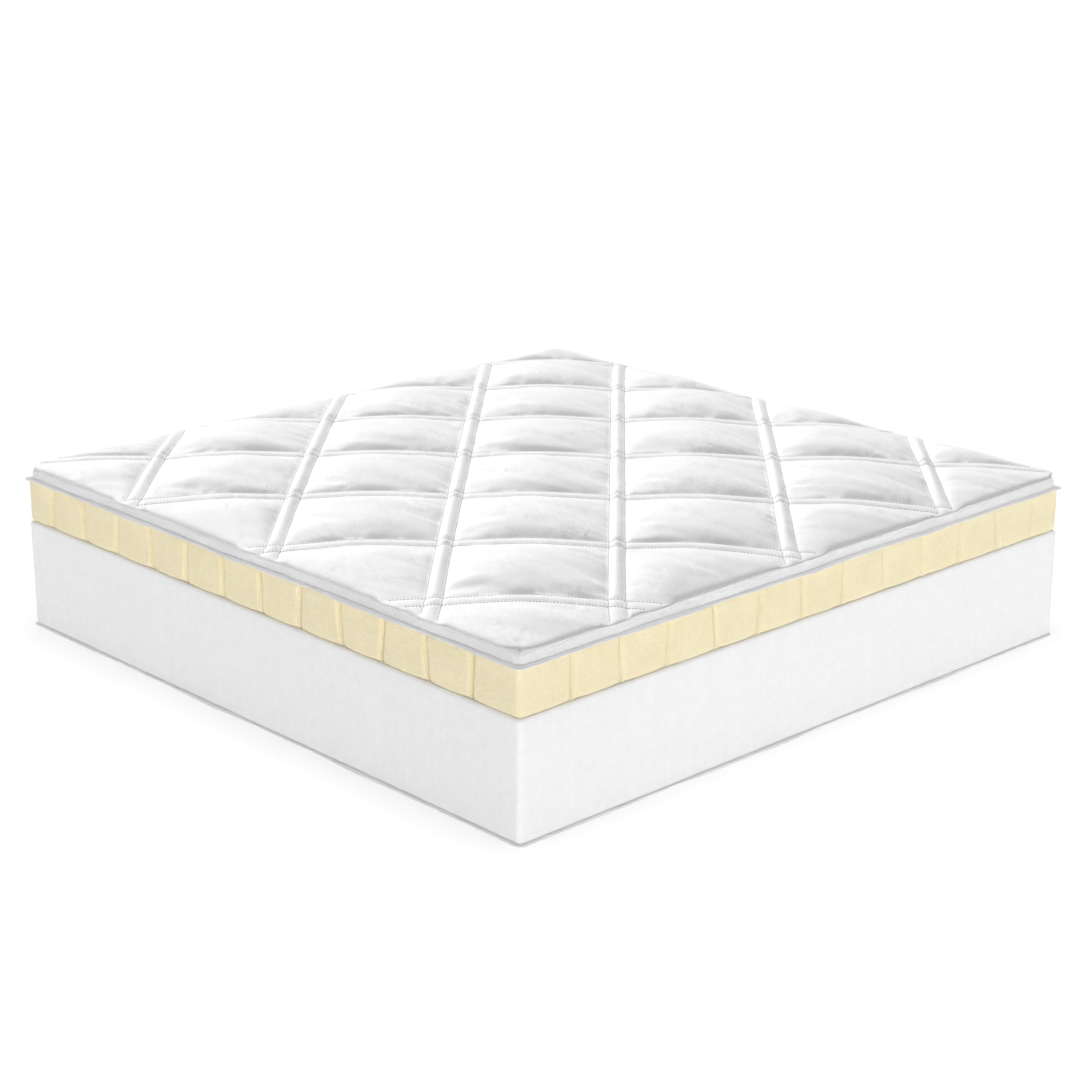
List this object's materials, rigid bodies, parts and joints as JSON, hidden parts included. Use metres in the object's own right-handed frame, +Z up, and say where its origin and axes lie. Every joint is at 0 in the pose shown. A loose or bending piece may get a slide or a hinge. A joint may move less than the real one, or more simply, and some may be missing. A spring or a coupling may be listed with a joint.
{
  "type": "latex mattress",
  "caption": "Square layered mattress: quilted cotton cover, fibre wadding, pincore latex layer, foam core and two thin fibre scrims, closed up as one stack.",
  "frame": {"origin": "on the surface the mattress lies on, under its middle", "axes": "+Z up through the thickness; X and Y along the sides, with the quilting set out from the corner at +X -Y"},
  "size_m": [1.0096, 1.0087, 0.2623],
  "materials": {
    "scrim": "thin matt nonwoven fibre",
    "core_foam": "fine matt open-cell foam",
    "latex": "cream satin-matt moulded latex foam",
    "wadding": "soft matt fibre",
    "cover_cotton": "smooth matt woven cotton with a faint sheen"
  },
  "bodies": {
    "root": {"base_scrim": "scrim", "foam_core": "core_foam", "latex_layer": "latex", "backing_scrim": "scrim", "fibre_wadding": "wadding", "quilted_cover": "cover_cotton"}
  },
  "joints": []
}
